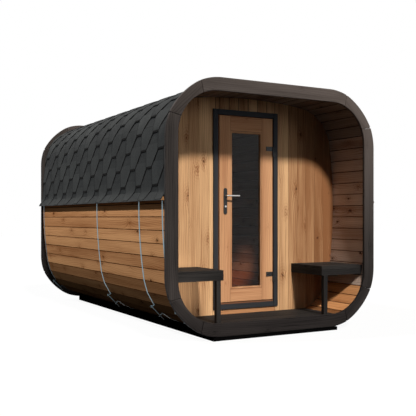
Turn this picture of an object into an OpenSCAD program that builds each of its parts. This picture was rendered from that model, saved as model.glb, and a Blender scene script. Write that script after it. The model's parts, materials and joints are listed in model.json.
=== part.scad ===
// Cube sauna: a coopered, rounded-square timber cabin with an open porch.
// Millimetres. X is across the front, Y runs from the porch (-Y) to the
// back, Z is up. The origin is on the ground under the middle of the cabin.

/* [Rings] */
// Overall length, from the front ring's face to the rear ring's face
length = 3430; // [2400:10:4400]
// Overall width of the rings
ring_w = 2080; // [1800:10:2400]
// Overall height of the rings
ring_h = 2070; // [1900:10:2400]
// Outer radius of the rings' corners
ring_r = 500; // [460:5:540]
// Radius of the corner boards' flatter outer edge
corner_arc_r = 640; // [560:10:900]
// Inner radius of the rings' corners
ring_inner_r = 358; // [300:2:400]
// Width of the straight ring boards, seen from the front
ring_band = 110; // [100:1:130]
// Chamfer at the outer ends of the ring boards
joint_chamfer = 7; // [3:0.5:12]
// Thickness of the ring boards
ring_t = 28; // [18:1:45]
// Height of the rings' underside above the ground
ring_lift = 30; // [20:1:60]
// Open joint between two ring boards
ring_seam = 1.2; // [0.5:0.1:4]

/* [Stave shell] */
// How far the rings stand proud of the staves at the sides
side_proud = 20; // [14:0.5:24]
// How far the rings stand proud of the staves at the top
top_proud = 20; // [16:0.5:30]
// How far the rings stand proud of the staves at the bottom
bottom_proud = 37.5; // [25:0.5:45]
// Radius of the shell's bulging sides and of its crown
side_r = 4200; // [3600:100:8000]
// Height above the ground at which the shell is widest
widest_z = 1090; // [1040:5:1140]
// Radius of the shell's lower corners
low_r = 470; // [440:5:500]
// Radius of the shell's upper corners
high_r = 420; // [400:5:470]
// Thickness of the staves
stave_t = 33; // [30:1:40]
// Number of staves round the shell
stave_n = 67; // [57:2:77]
// Radius of the round bead along one edge of a stave
bead_r = 7; // [5:0.5:9]
// How far the bead stands out of the edge
bead_out = 3; // [2.5:0.5:4.5]
// Chamfer along the edges of a stave
stave_chamfer = 3; // [1:0.5:5]

/* [Walls and floor] */
// From the front ring's face to the front wall
porch_depth = 515; // [400:5:800]
// Thickness of the end walls
wall_t = 42; // [34:1:60]
// How far the rear wall sits in from the rear ring
rear_recess = 30; // [10:1:80]
// Thickness of the floor decks
deck_t = 29; // [18:1:36]

/* [Roof] */
// Height of the eaves above the ground
eave_z = 1115; // [1060:5:1200]
// Thickness of the shingle covering
roof_t = 4; // [3:0.5:6]
// Space under the covering, where the hoops pass
roof_gap = 1.8; // [1.6:0.1:4]
// How far the eaves stand out from the staves
eave_out = 52; // [40:1:60]
// Height of the flare at the eaves
eave_flare = 70; // [50:5:120]
// Height of the batten under the eaves
batten_h = 28; // [18:1:40]

/* [Steel hoops] */
// Width of the hoops
hoop_w = 20; // [15:1:30]
// Thickness of the hoops
hoop_t = 1.2; // [0.8:0.1:1.5]
// Height of the folded lugs at the tensioners
lug_h = 36; // [32:1:50]
// Height of the tension rod above the staves
rod_rise = 26; // [22:1:28]
// Radius of the tension rod
rod_r = 4; // [3:0.5:5]
// Angle below level of a tensioner's upper lug, round the lower corner
lug_a = 38; // [30:1:46]
// Angle between a tensioner's two lugs
lug_span = 12.5; // [11:0.5:16]
// Length of the rod's free end
rod_tail = 52; // [30:1:80]

/* [Door] */
// Width of the door leaf
leaf_w = 558; // [480:2:580]
// From the top of the door leaf up to the ceiling
over_leaf = 165; // [110:1:220]
// Thickness of the door leaf
leaf_t = 42; // [36:1:50]
// Height of the leaf's lower edge above the ground
leaf_z = 236; // [225:1:260]
// How far the leaf sits off centre, towards its hinges
leaf_shift = 4; // [0:1:8]
// How far the leaf's face stands out from the front wall
leaf_proud = 5; // [2:0.5:8]
// Clearance round the leaf
leaf_gap = 5.2; // [5:0.1:8]
// Bevel of the leaf's free edge, so that it swings past the jamb
leaf_bevel = 3; // [2.5:0.1:5]
// Width of the stiles
stile_w = 113; // [90:1:130]
// Height of the top rail
top_rail_h = 132; // [90:1:160]
// Height of the bottom rail
bottom_rail_h = 114; // [90:1:160]
// Width of the glazing beads
bead_w = 17; // [12:1:24]
// Thickness of the door glass
glass_t = 8; // [4:1:10]
// Depth of the jambs, from the wall's face inwards
jamb_d = 62; // [58:1:90]
// How far the stop reaches in behind the leaf
stop_w = 14; // [10:1:18]
// Width of the casing round the door
casing_w = 46; // [40:1:60]
// Thickness of the casing
casing_t = 12; // [9:0.5:14]
// Width of the casing's opening beyond the leaf's width
casing_spare = 26; // [24:1:32]

/* [Door furniture] */
// From the leaf's top down to the top of the upper hinge
hinge_down = 255; // [120:5:300]
// From the leaf's bottom up to the top of the lower hinge
hinge_up = 251; // [150:5:400]
// Reach of a hinge plate over the leaf
hinge_reach = 70; // [50:1:90]
// Height of a hinge plate
hinge_h = 40; // [30:1:43]
// Length of a hinge's knuckle, both halves
knuckle_l = 90; // [80:1:120]
// Radius of a hinge's knuckle
knuckle_r = 5.5; // [5:0.1:5.8]
// Radius of a hinge's pin
pin_r = 3; // [2.5:0.1:3.4]
// Height of the lever's pivot above the ground
lever_z = 1174; // [1050:1:1300]
// From the leaf's free edge to the lever's pivot
backset = 58; // [50:1:70]
// Length of the lever
lever_l = 117; // [95:1:140]
// Radius of the lever bar
lever_r = 7; // [5:0.5:9]
// How far the lever bar's middle stands off the leaf
lever_off = 48; // [40:1:60]
// Height of the handle plate
plate_h = 230; // [200:1:260]
// Width of the handle plate
plate_w = 34; // [30:1:40]
// Thickness of the handle plate
plate_t = 7; // [4:0.5:9]
// From the lever's pivot down to the key cylinder
key_drop = 95; // [72:1:120]

/* [Benches] */
// Height of the seats above the ground
seat_z = 557; // [450:1:620]
// Width of a bench, from its inner edge to the side wall
bench_w = 492; // [380:1:540]
// From the front ring's face to a bench's front edge
bench_y = 57; // [40:1:80]
// Thickness of the seat
seat_t = 26; // [18:1:32]
// Height of the apron boards under the seat
apron_h = 57; // [40:1:80]
// Thickness of the apron boards
apron_t = 22; // [18:1:30]
// Side of a bench post
post_w = 40; // [30:1:60]
// From a bench's inner edge to its post
post_in = 25; // [5:1:40]

/* [Base] */
// From the middle to the outer side of a base beam
base_x = 620; // [560:5:640]
// Width of the base beams
beam_w = 60; // [45:1:90]
// How far the base stops short of the rear ring's face
base_short = 150; // [60:5:400]

/* [Hidden] */

$fn = 48;
fit = 0.3;              // clearance between pieces that seat on each other
running = 0.05;         // radial clearance of a pin in its bore
arc_step = 3;           // degrees between the points of a round outline

// frame of the whole
front_y = -length / 2;
rear_y = length / 2;
shell_w = ring_w - 2 * side_proud;
shell_h = ring_h - top_proud - bottom_proud;
shell_z = ring_lift + bottom_proud;
stave_y0 = front_y + ring_t + fit;
stave_y1 = rear_y - ring_t - fit;
wall_y = front_y + porch_depth;
rear_wall_y = rear_y - ring_t - rear_recess - wall_t;
deck_z = shell_z + stave_t + fit + deck_t;
ceiling_z = shell_z + shell_h - stave_t;

// the shell's outline as a path that starts in the middle of the bottom;
// its sides and its crown are wide arcs, and smaller ones join them
side_c = [shell_w / 2 - side_r, widest_z];
crown_c = [0, shell_z + shell_h - side_r];
low_z = shell_z + low_r;
low_a = asin((widest_z - low_z) / (side_r - low_r));
low_x = side_c[0] + (side_r - low_r) * cos(low_a);
high_c = (side_c + crown_c) / 2 + unit(outward(side_c, crown_c))
    * sqrt(pow(side_r - high_r, 2) - pow(norm(crown_c - side_c) / 2, 2));
high_a = atan2(high_c[1] - side_c[1], high_c[0] - side_c[0]);
crown_a = atan2(high_c[1] - crown_c[1], high_c[0] - crown_c[0]);
function unit(v) = v / norm(v);
function outward(a, b) = [a[1] - b[1], b[0] - a[0]];

// lengths along the right half: flat, lower bend, side, upper bend, crown
function swept(r, a) = r * a * PI / 180;
stretches = [low_x, swept(low_r, 90 - low_a), swept(side_r, low_a + high_a),
    swept(high_r, crown_a - high_a), swept(side_r, 90 - crown_a)];
ends = [for (i = [0 : 4]) add_up(i)];
function add_up(i) = i < 0 ? 0 : stretches[i] + add_up(i - 1);
path_l = 2 * ends[4];
pitch = path_l / stave_n;

// the outline's point at a distance s along the path
function on_path(s) = s <= ends[4] ? on_half(s) :
    let (p = on_half(path_l - s)) [-p[0], p[1]];
function on_half(s) =
    s < ends[0] ? [s, shell_z] :
    s < ends[1] ? on_bend(low_x, low_z, low_r, -90, s - ends[0]) :
    s < ends[2] ? on_bend(side_c[0], side_c[1], side_r, -low_a, s - ends[1]) :
    s < ends[3] ? on_bend(high_c[0], high_c[1], high_r, high_a, s - ends[2]) :
    on_bend(crown_c[0], crown_c[1], side_r, crown_a, s - ends[3]);
function on_bend(x, z, r, a0, s) =
    let (a = a0 + s / r * 180 / PI) [x + r * cos(a), z + r * sin(a)];

// seams between staves: corners of a polygon, with mitred points at any depth
function wrap(s) = s < 0 ? s + path_l : s >= path_l ? s - path_l : s;
function corner(k) = on_path(wrap(k * pitch));
function inward(a, b) = let (d = unit(b - a)) [-d[1], d[0]];
function miter(k) =
    let (p = corner(k), n1 = inward(corner(k - 1), p), n2 = inward(p, corner(k + 1)))
    (n1 + n2) / (1 + n1 * n2);
function seam(k, depth) = corner(k) + miter(k) * depth;
function shell_outline(depth) = [for (k = [0 : stave_n - 1]) seam(k, depth)];

// first stave of each group on the right, counted from the middle of the bottom
bend_first = round(ends[0] / pitch);
wall_first = round(ends[1] / pitch);
upper_first = round(ends[2] / pitch);
top_first = round(ends[3] / pitch);

// the door
leaf_x0 = leaf_shift - leaf_w / 2;
leaf_x1 = leaf_shift + leaf_w / 2;
leaf_top = ceiling_z - over_leaf;
leaf_h = leaf_top - leaf_z;
leaf_y = wall_y - leaf_proud;
open_x0 = leaf_x0 - leaf_gap;
open_x1 = leaf_x1 + leaf_gap;
open_z0 = leaf_z - leaf_gap;
open_z1 = leaf_top + leaf_gap;
casing_x = (leaf_w + casing_spare) / 2;
casing_z0 = open_z0 - casing_spare / 2;
casing_z1 = open_z1;
doorway_x = casing_x + casing_w / 2;
doorway_z0 = casing_z0 - casing_w * 0.4;
doorway_z1 = casing_z1 + casing_w / 2;
stop_y = leaf_y + leaf_t + leaf_gap;
glass_x0 = leaf_x0 + stile_w + fit;
glass_x1 = leaf_x1 - stile_w - fit;
glass_z0 = leaf_z + bottom_rail_h + fit;
glass_z1 = leaf_top - top_rail_h - fit;
glass_y = leaf_y + (leaf_t - glass_t) / 2;
hinge_x = leaf_x1 + leaf_gap / 2;
hinge_y = leaf_y - 7;
lever_x = leaf_x0 + backset;

// hoops: behind the front ring, behind the front wall, midway, by the rear ring
hoop_ys = [stave_y0 + 72, wall_y + wall_t, (wall_y + stave_y1) / 2 - 393, stave_y1 - 36];

// ---- helpers -------------------------------------------------------------

// extrudes an outline drawn in X and Z from y0 to y1
module along_y(y0, y1) {
    translate([0, y1, 0]) rotate([90, 0, 0]) linear_extrude(y1 - y0) children();
}

// a box between two corners
module block(low, high) {
    translate(low) cube(high - low);
}

// a cylinder along Y from y0 to y1
module rod_y(x, z, y0, y1, r) {
    translate([x, y1, z]) rotate([90, 0, 0]) cylinder(h = y1 - y0, r = r);
}

module mirrored() {
    children();
    mirror([1, 0, 0]) children();
}

// one stave's cross-section: mitred edges, a bead on one and a cove on the other
module stave_outline(k) {
    a = seam(k, 0);
    b = seam(k + 1, 0);
    c = seam(k + 1, stave_t);
    d = seam(k, stave_t);
    along = unit(b - a);
    inn = [-along[1], along[0]];
    half = along * fit / 2;
    ch = stave_chamfer;
    side_b = unit(c - b);
    side_a = unit(d - a);
    bead_b = (b + c) / 2 - along * (bead_r - bead_out);
    cove_a = (a + d) / 2 + (bead_out - bead_r) * unit(a - seam(k - 1, 0));
    difference() {
        union() {
            polygon([
                a + half + along * ch, b - half - along * ch,
                b - half + side_b * ch, c - half - side_b * ch,
                c - half - along * ch, d + half + along * ch,
                d + half - side_a * ch, a + half + side_a * ch
            ]);
            translate(bead_b) circle(bead_r);
        }
        translate(cove_a) circle(bead_r + fit);
    }
}

module staves(first, last) {
    color("peru") for (k = [first : last]) along_y(stave_y0, stave_y1) stave_outline(k);
}

// ---- base ----------------------------------------------------------------

// the outline that the base beams and the hoops' notches are cut to
module under_shell(clear) {
    along_y(front_y - 1, rear_y + 1) polygon(shell_outline(-clear));
}

module hoop_notches() {
    for (y = hoop_ys)
        along_y(y - hoop_w / 2 - 2, y + hoop_w / 2 + 2)
            polygon(shell_outline(-hoop_t - 3 * fit));
}

module ring_notch() {
    block([-ring_w / 2, front_y - 1, ring_lift - fit],
        [ring_w / 2, front_y + ring_t + fit, ring_h]);
}

module base_runners() {
    color([0.1, 0.1, 0.1]) mirrored() difference() {
        block([base_x - beam_w, front_y, 0], [base_x, rear_y - base_short, shell_z + beam_w]);
        under_shell(fit);
        hoop_notches();
        ring_notch();
    }
}

module base_cross_beams() {
    run = length - base_short - beam_w;
    color([0.1, 0.1, 0.1]) difference() {
        for (i = [0 : 3]) {
            y = front_y + i * run / 3;
            block([-base_x + beam_w + fit, y, 0],
                [base_x - beam_w - fit, y + beam_w, shell_z - fit]);
        }
        hoop_notches();
        ring_notch();
    }
}

// ---- rings ---------------------------------------------------------------

// points of an arc in X and Z
function arc(x, z, r, a0, a1, step = arc_step) =
    let (n = ceil(abs(a1 - a0) / step))
    [for (i = [0 : n]) let (a = a0 + (a1 - a0) * i / n) [x + r * cos(a), z + r * sin(a)]];

// the joints of a ring's upper right corner, as distances from its bend's centre
ring_flat = [ring_w / 2 - ring_r, ring_h / 2 - ring_r];
inner_off = ring_r - ring_band - ring_inner_r;
joint_a = 22.5;
function cut_off(r) = ring_seam / 2 / r * 180 / PI;

// a straight ring board of one side, drawn along the top, with bent ends
module ring_side(half_l, out, y) {
    a = 90 - joint_a + cut_off(ring_r);
    b = 90 - joint_a + cut_off(ring_inner_r);
    c = 180 / PI * joint_chamfer / ring_r;
    inner_l = half_l + inner_off;
    inner_z = out - ring_r + inner_off;
    along_y(y, y + ring_t) polygon(concat(
        [edge_point(half_l, out - ring_r, ring_r - joint_chamfer, a)],
        arc(half_l, out - ring_r, ring_r, a + c, 90),
        arc(-half_l, out - ring_r, ring_r, 90, 180 - a - c),
        [edge_point(-half_l, out - ring_r, ring_r - joint_chamfer, 180 - a)],
        arc(-inner_l, inner_z, ring_inner_r, 180 - b, 90),
        arc(inner_l, inner_z, ring_inner_r, 90, b)));
}
function edge_point(x, z, r, a) = [x + r * cos(a), z + r * sin(a)];

module ring_sides(y) {
    color([0.22, 0.2, 0.19]) translate([0, 0, ring_lift + ring_h / 2]) {
        ring_side(ring_flat[0], ring_h / 2, y);
        rotate([0, 180, 0]) ring_side(ring_flat[0], ring_h / 2, y);
        rotate([0, 90, 0]) ring_side(ring_flat[1], ring_w / 2, y);
        rotate([0, -90, 0]) ring_side(ring_flat[1], ring_w / 2, y);
    }
}

// a corner board, flatter outside than the bend that its joints lie on
module ring_corner() {
    a = 45 - joint_a - cut_off(ring_r);
    b = 45 - joint_a - cut_off(ring_inner_r);
    half = asin(ring_r * sin(a) / corner_arc_r);
    c = 180 / PI * joint_chamfer / corner_arc_r;
    back = (ring_r * cos(a) - corner_arc_r * cos(half)) / sqrt(2);
    inn = inner_off;
    polygon(concat(
        [edge_point(0, 0, ring_r - joint_chamfer, 45 - a)],
        arc(back, back, corner_arc_r, 45 - half + c, 45 + half - c),
        [edge_point(0, 0, ring_r - joint_chamfer, 45 + a)],
        arc(inn, inn, ring_inner_r, 45 + b, 45 - b)));
}

module ring_corners(y) {
    color([0.22, 0.2, 0.19]) for (sx = [0, 1], sz = [0, 1])
        translate([0, 0, ring_lift + ring_h / 2]) mirror([sx, 0, 0]) mirror([0, 0, sz])
            translate([ring_flat[0], 0, ring_flat[1]]) along_y(y, y + ring_t) ring_corner();
}

// ---- steel hoops ---------------------------------------------------------

lug_t = 2.5;
rod_line = low_r + rod_rise;
rod_chord = 2 * rod_line * sin(lug_span / 2);

// outline of a hoop: a band round the staves, open in both lower corners,
// with its ends folded out as lugs
module hoop_outline() {
    difference() {
        union() {
            difference() {
                polygon(shell_outline(-fit - hoop_t));
                mirrored() translate([-low_x, low_z]) open_wedge();
            }
            mirrored() translate([-low_x, low_z]) {
                rotate(180 + lug_a) lug_outline(-lug_t);
                rotate(180 + lug_a + lug_span) lug_outline(0);
            }
        }
        polygon(shell_outline(-fit));
    }
}

module open_wedge() {
    polygon([[0, 0], for (a = [lug_a, lug_a + lug_span]) -1.5 * low_r * [cos(a), sin(a)]]);
}

module lug_outline(low) {
    translate([low_r - 6, low]) square([lug_h + 6, lug_t]);
}

// places what it holds on the line of the rod of each tensioner of a hoop
module at_tensioners(y) {
    mirrored() translate([-low_x, y, low_z]) rotate([0, -lug_a - lug_span / 2, 0])
        translate([-rod_line * cos(lug_span / 2), 0, 0]) children();
}

module steel_hoops() {
    color("slategray") for (y = hoop_ys) difference() {
        along_y(y - hoop_w / 2, y + hoop_w / 2) hoop_outline();
        at_tensioners(y) cylinder(h = rod_chord + 40, r = rod_r + fit, center = true);
    }
}

// a threaded rod through both lugs with a nut outside each
module tension_rods() {
    nut_t = 6.4;
    seat = lug_t + 1.5 * fit;
    color("silver") for (y = hoop_ys) at_tensioners(y) {
        translate([0, 0, -rod_chord / 2 - rod_tail])
            cylinder(h = rod_chord + rod_tail + 4 * rod_r, r = rod_r);
        translate([0, 0, rod_chord / 2 + seat]) cylinder(h = nut_t, r = 1.9 * rod_r, $fn = 6);
        translate([0, 0, -rod_chord / 2 - seat - nut_t]) cylinder(h = nut_t, r = 1.9 * rod_r, $fn = 6);
    }
}

// ---- roof ----------------------------------------------------------------

// one side of the covering's outline, from the ridge down to the eaves
eave_top = eave_z + eave_flare;
eave_x = shell_w / 2 + eave_out;
roof_seams = [for (k = [0 : stave_n - 1]) if (corner(k)[1] > eave_top + 5 && corner(k)[0] > 0) k];

function roof_line(depth) = concat(
    [[0, shell_z + shell_h + depth]],
    [for (i = [len(roof_seams) - 1 : -1 : 0]) seam(roof_seams[i], -depth)],
    [[shell_w / 2 + depth, eave_top]]);

module roof_covering() {
    inner = roof_line(roof_gap);
    outer = roof_line(roof_gap + roof_t);
    right = concat(outer, [[eave_x, eave_z], [eave_x - roof_t, eave_z]],
        [for (i = [len(inner) - 1 : -1 : 0]) inner[i]]);
    color([0.25, 0.25, 0.26]) along_y(stave_y0, stave_y1) mirrored() polygon(right);
}

// inner face of the flared eaves at a height above their lower edge
flare_run = eave_x - roof_t - shell_w / 2 - roof_gap;
function flare_x(up) = eave_x - roof_t - flare_run * up / eave_flare;

module eave_battens() {
    back = shell_w / 2 + hoop_t + 2 * fit;
    clear = 1.5 * fit;
    color("saddlebrown") mirrored() along_y(stave_y0, stave_y1)
        polygon([[back, eave_z], [flare_x(0) - clear, eave_z],
            [flare_x(batten_h) - clear, eave_z + batten_h], [back, eave_z + batten_h]]);
}

// ---- floors and end walls ------------------------------------------------

module deck(y0, y1) {
    intersection() {
        along_y(y0, y1) polygon(shell_outline(stave_t + fit));
        block([-ring_w, y0 - 1, deck_z - deck_t], [ring_w, y1 + 1, deck_z]);
    }
}

module porch_floor() {
    color([0.22, 0.2, 0.19]) deck(front_y + ring_t + fit, wall_y - fit);
}

module cabin_floor() {
    color("burlywood") deck(wall_y + wall_t + fit, rear_wall_y - fit);
}

module end_wall(y) {
    along_y(y, y + wall_t) polygon(shell_outline(stave_t + fit));
}

module rear_wall() {
    color("burlywood") end_wall(rear_wall_y);
}

module wall_part(x0, x1, z0, z1) {
    color("burlywood") intersection() {
        end_wall(wall_y);
        block([x0, wall_y - 1, z0], [x1, wall_y + wall_t + 1, z1]);
    }
}

module front_wall_left() { wall_part(-ring_w, -doorway_x, 0, 2 * ring_h); }

module front_wall_right() { wall_part(doorway_x, ring_w, 0, 2 * ring_h); }

module front_wall_top() {
    wall_part(-doorway_x + fit, doorway_x - fit, doorway_z1, 2 * ring_h);
}

module front_wall_sill() {
    wall_part(-doorway_x + fit, doorway_x - fit, 0, doorway_z0);
}

// ---- door frame ----------------------------------------------------------

jamb_y = wall_y + fit;

// an upright with a stop behind the leaf, between the doorway's side and the opening
module jamb(x_out, x_in) {
    inwards = sign(x_in - x_out);
    translate([0, 0, open_z0 + fit]) linear_extrude(open_z1 - open_z0 - 2 * fit) polygon([
        [x_out + inwards * fit, jamb_y], [x_in, jamb_y], [x_in, stop_y],
        [x_in + inwards * stop_w, stop_y], [x_in + inwards * stop_w, jamb_y + jamb_d],
        [x_out + inwards * fit, jamb_y + jamb_d]]);
}

// a cross piece with a stop, between the doorway's edge and the opening
module cross_jamb(z_out, z_in) {
    inwards = sign(z_in - z_out);
    x = doorway_x - fit;
    translate([-x, 0, 0]) rotate([90, 0, 90]) linear_extrude(2 * x) polygon([
        [jamb_y, z_out + inwards * fit], [jamb_y, z_in], [stop_y, z_in],
        [stop_y, z_in + inwards * stop_w], [jamb_y + jamb_d, z_in + inwards * stop_w],
        [jamb_y + jamb_d, z_out + inwards * fit]]);
}

module door_jambs() {
    color("chocolate") difference() {
        union() {
            jamb(-doorway_x, open_x0);
            jamb(doorway_x, open_x1);
        }
        for (z = [open_z0, open_z1])
            block([-doorway_x, stop_y - fit, z - stop_w - fit],
                [doorway_x, jamb_y + jamb_d + 1, z + stop_w + fit]);
    }
}

module door_head() { color("chocolate") cross_jamb(doorway_z1, open_z1); }

module door_threshold() { color("chocolate") cross_jamb(doorway_z0, open_z0); }

module door_casing() {
    y0 = wall_y - fit - casing_t;
    y1 = wall_y - fit;
    color([0.1, 0.1, 0.11]) {
        mirrored() block([casing_x, y0, casing_z0 - casing_w], [casing_x + casing_w, y1, casing_z1 + casing_w]);
        block([-casing_x + fit, y0, casing_z1], [casing_x - fit, y1, casing_z1 + casing_w]);
        block([-casing_x + fit, y0, casing_z0 - casing_w], [casing_x - fit, y1, casing_z0]);
    }
}

// ---- hinges --------------------------------------------------------------

hinge_tops = [leaf_top - hinge_down, leaf_z + hinge_up];
half_knuckle = knuckle_l / 2;

// fixed half: lower knuckle, pin and a plate on the casing
module hinge_pintles() {
    color([0.12, 0.12, 0.13]) for (top = hinge_tops) {
        low = top - knuckle_l;
        translate([hinge_x, hinge_y, low]) cylinder(h = half_knuckle - fit, r = knuckle_r);
        translate([hinge_x, hinge_y, low + 1]) cylinder(h = knuckle_l - 8, r = pin_r);
        block([hinge_x, wall_y - casing_t - 4, low + 3],
            [casing_x + casing_w * 0.6, wall_y - casing_t - 2 * fit, low + half_knuckle - 4]);
    }
}

// moving half: upper knuckle, bored for the pin, and a plate on the leaf
module hinge_leaves() {
    color([0.12, 0.12, 0.13]) for (top = hinge_tops) difference() {
        union() {
            translate([hinge_x, hinge_y, top - half_knuckle + fit])
                cylinder(h = half_knuckle - fit, r = knuckle_r);
            block([leaf_x1 - hinge_reach, leaf_y - fit - 4, top - hinge_h],
                [hinge_x, leaf_y - fit, top]);
        }
        translate([hinge_x, hinge_y, top - knuckle_l])
            cylinder(h = knuckle_l - 4, r = pin_r + running);
    }
}

// ---- door leaf -----------------------------------------------------------

spindle_r = 5;
spindle_hole_r = 10.5;
key_r = 8.5;

module door_stiles() {
    color("sandybrown") difference() {
        union() {
            translate([0, 0, leaf_z]) linear_extrude(leaf_h) polygon([
                [leaf_x0, leaf_y], [leaf_x0 + stile_w, leaf_y],
                [leaf_x0 + stile_w, leaf_y + leaf_t], [leaf_x0 + leaf_bevel, leaf_y + leaf_t]]);
            block([leaf_x1 - stile_w, leaf_y, leaf_z], [leaf_x1, leaf_y + leaf_t, leaf_top]);
        }
        rod_y(lever_x, lever_z, leaf_y - 1, leaf_y + leaf_t + 1, spindle_hole_r);
        rod_y(lever_x, lever_z - key_drop, leaf_y - 1, leaf_y + leaf_t + 1, key_r + 1);
    }
}

module door_rails() {
    x0 = leaf_x0 + stile_w + fit;
    x1 = leaf_x1 - stile_w - fit;
    color("sandybrown") {
        block([x0, leaf_y, leaf_z], [x1, leaf_y + leaf_t, leaf_z + bottom_rail_h]);
        block([x0, leaf_y, leaf_top - top_rail_h], [x1, leaf_y + leaf_t, leaf_top]);
    }
}

module bead_frame(y0, y1) {
    difference() {
        block([glass_x0, y0, glass_z0], [glass_x1, y1, glass_z1]);
        block([glass_x0 + bead_w, y0 - 1, glass_z0 + bead_w],
            [glass_x1 - bead_w, y1 + 1, glass_z1 - bead_w]);
    }
}

module glazing_beads() {
    color("peru") {
        bead_frame(leaf_y + 3, glass_y - fit);
        bead_frame(glass_y + glass_t + fit, leaf_y + leaf_t - 3);
    }
}

module door_glass() {
    color([0.2, 0.22, 0.24, 0.6])
        block([glass_x0, glass_y, glass_z0], [glass_x1, glass_y + glass_t, glass_z1]);
}

// ---- door furniture ------------------------------------------------------

// a plate with round ends, drawn on the leaf's face at y0
module handle_plate(y0) {
    mid_z = lever_z - plate_h / 2 + (plate_h - key_drop) / 2;
    r = plate_w / 2;
    top = mid_z + plate_h / 2 - r;
    low = mid_z - plate_h / 2 + r;
    along_y(y0, y0 + plate_t) difference() {
        polygon(concat(arc(lever_x, top, r, 0, 180, 12), arc(lever_x, low, r, 180, 360, 12)));
        translate([lever_x, lever_z]) circle(lever_r + running);
        translate([lever_x, lever_z - key_drop]) circle(key_r + fit);
    }
}

module handle_plates() {
    key_z = lever_z - key_drop;
    color([0.08, 0.08, 0.09]) {
        handle_plate(leaf_y - fit - plate_t);
        handle_plate(leaf_y + leaf_t + fit);
        rod_y(lever_x, key_z, leaf_y - plate_t - 5, leaf_y + leaf_t + plate_t + 5, key_r);
    }
}

// spindle through the leaf with a lever on both sides
module door_lever() {
    color([0.3, 0.3, 0.32]) {
        rod_y(lever_x, lever_z, leaf_y - lever_off, leaf_y + leaf_t + lever_off, spindle_r);
        for (side = [-1, 1]) {
            face = side < 0 ? leaf_y : leaf_y + leaf_t;
            y = face + side * lever_off;
            near = face + side * 2 * fit;
            rod_y(lever_x, lever_z, min(y, near), max(y, near), lever_r);
            translate([lever_x, y, lever_z]) sphere(lever_r);
            translate([lever_x, y, lever_z]) rotate([0, 90, 0]) cylinder(h = lever_l, r = lever_r);
            translate([lever_x + lever_l, y, lever_z]) sphere(lever_r);
        }
    }
}

// ---- benches -------------------------------------------------------------

bench_x = shell_w / 2 - stave_t - bench_w;
seat_y0 = front_y + bench_y;
seat_y1 = wall_y - fit;
apron_z = seat_z - seat_t - apron_h;

module bench_slab(y0, y1, z0, z1) {
    intersection() {
        along_y(y0, y1) polygon(shell_outline(stave_t + fit));
        block([bench_x, y0 - 1, z0], [ring_w, y1 + 1, z1]);
    }
}

module bench_seat() {
    color([0.2, 0.18, 0.17]) bench_slab(seat_y0, seat_y1, seat_z - seat_t, seat_z);
}

module bench_apron() {
    color([0.2, 0.18, 0.17]) {
        bench_slab(seat_y0, seat_y0 + apron_t, apron_z, seat_z - seat_t - fit);
        block([bench_x, seat_y0 + apron_t + fit, apron_z],
            [bench_x + apron_t, seat_y1, seat_z - seat_t - fit]);
    }
}

module bench_post() {
    x = bench_x + post_in;
    color([0.15, 0.14, 0.14])
        block([x, seat_y0, deck_z + fit], [x + post_w, seat_y0 + post_w, apron_z - fit]);
}

// ---- nodes ---------------------------------------------------------------

// staves first to last on the right, or the ones opposite them on the left
module right_staves(first, last) { staves(first, last); }
module left_staves(first, last) { staves(stave_n - 1 - last, stave_n - 1 - first); }

module bottom_staves() { staves(-bend_first, bend_first - 1); }
module ceiling_staves() { staves(top_first, stave_n - 1 - top_first); }
module lower_right_staves() { right_staves(bend_first, wall_first - 1); }
module lower_left_staves() { left_staves(bend_first, wall_first - 1); }
module right_wall_staves() { right_staves(wall_first, upper_first - 1); }
module left_wall_staves() { left_staves(wall_first, upper_first - 1); }
module upper_right_staves() { right_staves(upper_first, top_first - 1); }
module upper_left_staves() { left_staves(upper_first, top_first - 1); }

base_runners();
base_cross_beams();
bottom_staves();
lower_right_staves();
right_wall_staves();
upper_right_staves();
ceiling_staves();
upper_left_staves();
left_wall_staves();
lower_left_staves();
ring_sides(front_y);  // front_ring_sides
ring_corners(front_y);  // front_ring_corners
ring_sides(rear_y - ring_t);  // rear_ring_sides
ring_corners(rear_y - ring_t);  // rear_ring_corners
steel_hoops();
tension_rods();
eave_battens();
roof_covering();
porch_floor();
cabin_floor();
rear_wall();
front_wall_left();
front_wall_right();
front_wall_top();
front_wall_sill();
door_jambs();
door_head();
door_threshold();
door_casing();
hinge_pintles();
door_stiles();
door_rails();
glazing_beads();
door_glass();
hinge_leaves();
handle_plates();
door_lever();
mirror([1, 0, 0]) bench_seat();  // left_bench_seat
mirror([1, 0, 0]) bench_apron();  // left_bench_apron
mirror([1, 0, 0]) bench_post();  // left_bench_post
bench_seat();  // right_bench_seat
bench_apron();  // right_bench_apron
bench_post();  // right_bench_post
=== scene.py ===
# A cube sauna, dressed in the order in which it is put together: base, staves, rings,
# hoops, roof, floors, end walls, door frame, door, door furniture and porch benches.
import json
import math
import random

import bmesh
import bpy
import numpy as np
from mathutils import Matrix, Vector

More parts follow.
